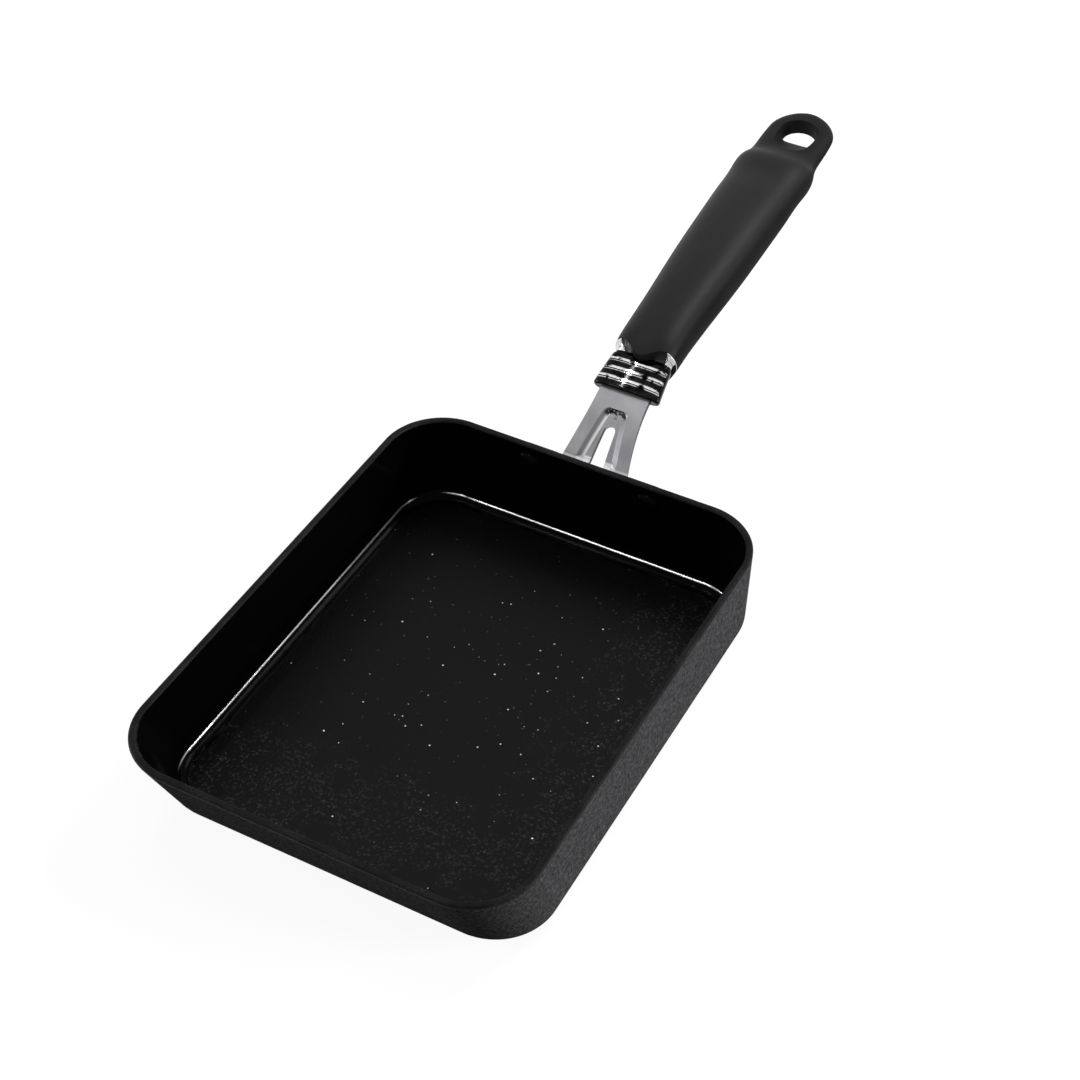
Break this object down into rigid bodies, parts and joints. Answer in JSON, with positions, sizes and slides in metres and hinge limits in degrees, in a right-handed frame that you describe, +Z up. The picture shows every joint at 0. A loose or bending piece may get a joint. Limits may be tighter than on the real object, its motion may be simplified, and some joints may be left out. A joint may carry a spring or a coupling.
{
  "type": "tamagoyaki pan",
  "caption": "Rectangular rolled-omelette pan with a sloped front wall, a riveted steel arm with a pressed channel, a ribbed flame guard and a moulded grip with a hanging hole.",
  "frame": {"origin": "centre of the flat underside, midway between the rim's front and back edges and between its sides", "axes": "+Z up, +Y back along the handle, +X to the right with the handle pointing away"},
  "size_m": [0.14, 0.3792, 0.0759],
  "materials": {
    "nonstick_aluminium": "black non-stick coating with pale flecks inside, fine-grained outside",
    "coated_rivet": "black non-stick coating on the inner heads",
    "stainless": "satin stainless",
    "plated_guard": "dark polished plating, bright on the ribs and the sleeve",
    "phenolic": "satin black phenolic",
    "zinc_steel": "zinc plated"
  },
  "bodies": {
    "root": {"pan_body": "nonstick_aluminium", "bracket_rivets": "coated_rivet", "handle_bracket": "stainless", "flame_guard": "plated_guard", "handle_grip": "phenolic", "grip_screw": "zinc_steel", "flat_washer": "zinc_steel", "spring_washer": "zinc_steel", "tang_nut": "zinc_steel"}
  },
  "joints": []
}
